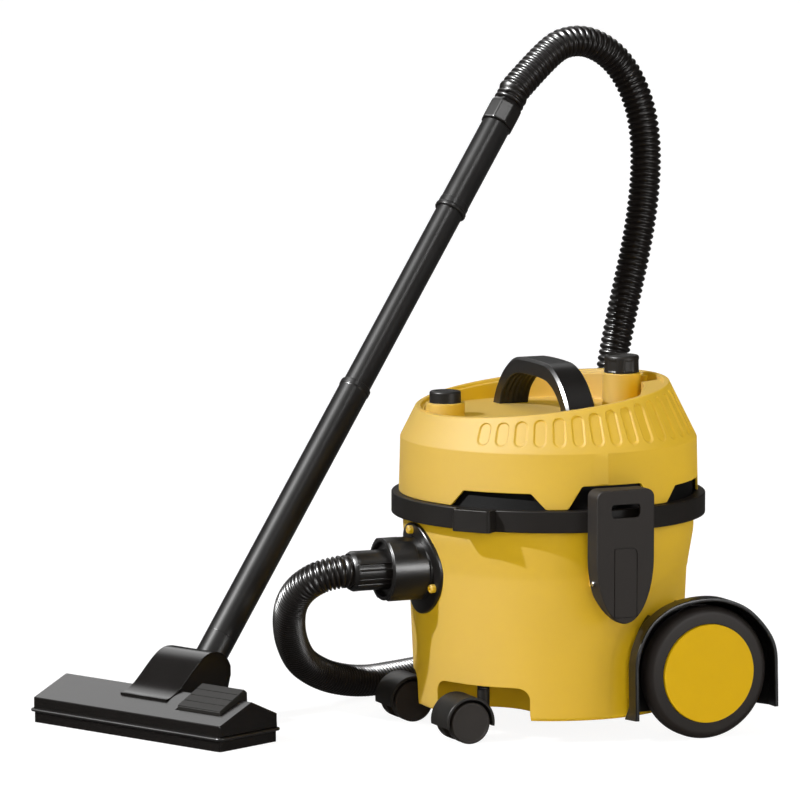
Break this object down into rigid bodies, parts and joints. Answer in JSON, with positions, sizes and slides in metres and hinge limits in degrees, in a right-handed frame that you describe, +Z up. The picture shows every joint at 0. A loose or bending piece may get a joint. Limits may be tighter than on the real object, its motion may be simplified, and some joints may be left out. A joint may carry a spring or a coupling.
{
  "type": "drum vacuum cleaner",
  "caption": "Drum vacuum cleaner on casters and rear wheels, with lift-off motor head, side latches, ribbed hose, wand and floor head.",
  "frame": {"origin": "middle of the base of everything but the hose, on the floor", "axes": "+X to the machine's rear, +Y to its far side where the wand leans, +Z up"},
  "size_m": [0.9356, 0.6704, 0.8155],
  "materials": {
    "yellow_plastic": "satin moulded",
    "black_plastic": "satin moulded",
    "hose_plastic": "ribbed, satin",
    "caster_tread": "smooth",
    "tyre_rubber": "smooth",
    "soft_rubber": "matte",
    "bristle": "cut bristle",
    "steel": "turned",
    "aluminium": "pressed",
    "copper": "wound",
    "paper": "pleated"
  },
  "bodies": {
    "chassis": {"tank": "yellow_plastic", "tank_band": "black_plastic", "caster_mounts": "black_plastic", "inlet_flange": "black_plastic", "inlet_screws": "yellow_plastic", "fender_near": "black_plastic", "fender_far": "black_plastic", "stub_axles": "steel", "latch_pins": "steel", "floor_head_neck": "black_plastic", "wand_lower_tube": "black_plastic", "wand_upper_tube": "black_plastic", "wand_lock_ring": "black_plastic", "wand_grip": "black_plastic", "hose": "hose_plastic"},
    "motor_head": {"head_shell": "yellow_plastic", "head_base": "black_plastic", "head_gasket": "soft_rubber", "base_screws": "steel", "carry_handle": "black_plastic", "filter_cage": "black_plastic", "filter_cartridge": "paper", "filter_cap": "black_plastic", "fan_housing": "steel", "motor_stator": "steel", "motor_cap": "black_plastic", "motor_bearings": "steel", "switch_body": "black_plastic", "dial_unit": "black_plastic", "power_gland": "soft_rubber"},
    "rotor": {"motor_shaft": "steel", "impeller": "aluminium", "armature": "copper", "cooling_fan": "black_plastic"},
    "button": {"power_button": "black_plastic"},
    "dial": {"suction_dial": "black_plastic", "dial_shaft": "steel"},
    "latch_near_body": {"latch_near": "black_plastic"},
    "latch_far_body": {"latch_far": "black_plastic"},
    "rear_wheel_near": {"rear_tyre_near": "tyre_rubber", "hub_disc_near": "yellow_plastic"},
    "rear_wheel_far": {"rear_tyre_far": "tyre_rubber", "hub_disc_far": "yellow_plastic"},
    "caster_near": {"caster_hood_near": "black_plastic", "caster_stem_near": "steel"},
    "caster_far": {"caster_hood_far": "black_plastic", "caster_stem_far": "steel"},
    "caster_roll_near": {"caster_wheels_near": "caster_tread", "caster_axle_near": "steel"},
    "caster_roll_far": {"caster_wheels_far": "caster_tread", "caster_axle_far": "steel"},
    "hose_end_cuff": {"inlet_cuff": "black_plastic"},
    "wand_end_cuff": {"wand_cuff": "black_plastic"},
    "floor_head": {"floor_head_shell": "black_plastic", "floor_head_bumper": "soft_rubber", "floor_head_sole": "black_plastic"},
    "pedal": {"brush_pedal": "black_plastic"},
    "brushes": {"brush_carriage": "steel", "brush_strips": "bristle"}
  },
  "joints": [
    {"name": "head_lift", "type": "slide", "parent": "chassis", "child": "motor_head", "axis": [0, 0, 1], "range_m": [0, 0.16]},
    {"name": "rotor_spin", "type": "hinge", "parent": "motor_head", "child": "rotor", "pos_m": [0.18075, -0.10192, 0.33], "axis": [0, 0, 1], "continuous": true},
    {"name": "power_press", "type": "slide", "parent": "motor_head", "child": "button", "axis": [0, 0, 1], "range_m": [-0.003, 0], "stiffness_N_per_m": 1500},
    {"name": "suction_turn", "type": "hinge", "parent": "motor_head", "child": "dial", "pos_m": [0.27875, -0.10192, 0.43], "axis": [0, 0, 1], "range_deg": [0, 270]},
    {"name": "latch_near_swing", "type": "hinge", "parent": "chassis", "child": "latch_near_body", "pos_m": [0.18075, -0.30192, 0.199], "axis": [1, 0, 0], "range_deg": [0, 40]},
    {"name": "latch_far_swing", "type": "hinge", "parent": "chassis", "child": "latch_far_body", "pos_m": [0.18075, 0.09808, 0.199], "axis": [-1, 0, 0], "range_deg": [0, 40]},
    {"name": "rear_wheel_near_roll", "type": "hinge", "parent": "chassis", "child": "rear_wheel_near", "pos_m": [0.30275, -0.27892, 0.08], "axis": [0, 1, 0], "continuous": true},
    {"name": "rear_wheel_far_roll", "type": "hinge", "parent": "chassis", "child": "rear_wheel_far", "pos_m": [0.30275, 0.07508, 0.08], "axis": [0, 1, 0], "continuous": true},
    {"name": "caster_near_swivel", "type": "hinge", "parent": "chassis", "child": "caster_near", "pos_m": [0.05676, -0.18492, 0.06], "axis": [0, 0, 1], "continuous": true},
    {"name": "caster_far_swivel", "type": "hinge", "parent": "chassis", "child": "caster_far", "pos_m": [0.05676, -0.01892, 0.06], "axis": [0, 0, 1], "continuous": true},
    {"name": "caster_near_roll", "type": "hinge", "parent": "caster_near", "child": "caster_roll_near", "pos_m": [0.02976, -0.18492, 0.025], "axis": [0, 1, 0], "continuous": true},
    {"name": "caster_far_roll", "type": "hinge", "parent": "caster_far", "child": "caster_roll_far", "pos_m": [0.02976, -0.01892, 0.025], "axis": [0, 1, 0], "continuous": true},
    {"name": "inlet_cuff_twist", "type": "hinge", "parent": "chassis", "child": "hose_end_cuff", "pos_m": [-0.03225, -0.10192, 0.2], "axis": [1, 0, 0], "range_deg": [0, 30]},
    {"name": "wand_cuff_turn", "type": "hinge", "parent": "chassis", "child": "wand_end_cuff", "pos_m": [0.29829, 0.29032, 0.70545], "axis": [0.5941, 0.272, 0.757], "continuous": true},
    {"name": "floor_head_tilt", "type": "hinge", "parent": "chassis", "child": "floor_head", "pos_m": [-0.22425, 0.05108, 0.062], "axis": [-0.4163, 0.9092, 0], "range_deg": [-30, 25]},
    {"name": "pedal_press", "type": "hinge", "parent": "floor_head", "child": "pedal", "pos_m": [-0.26264, -0.07648, 0.038], "axis": [-0.4163, 0.9092, 0], "range_deg": [0, 12]},
    {"name": "brush_drop", "type": "slide", "parent": "floor_head", "child": "brushes", "axis": [0, 0, 1], "range_m": [-0.00502, 0.0001]}
  ],
  "couplings": [
    {"joint": "brush_drop", "follows": "pedal_press", "m_per_rad": -0.02388}
  ]
}
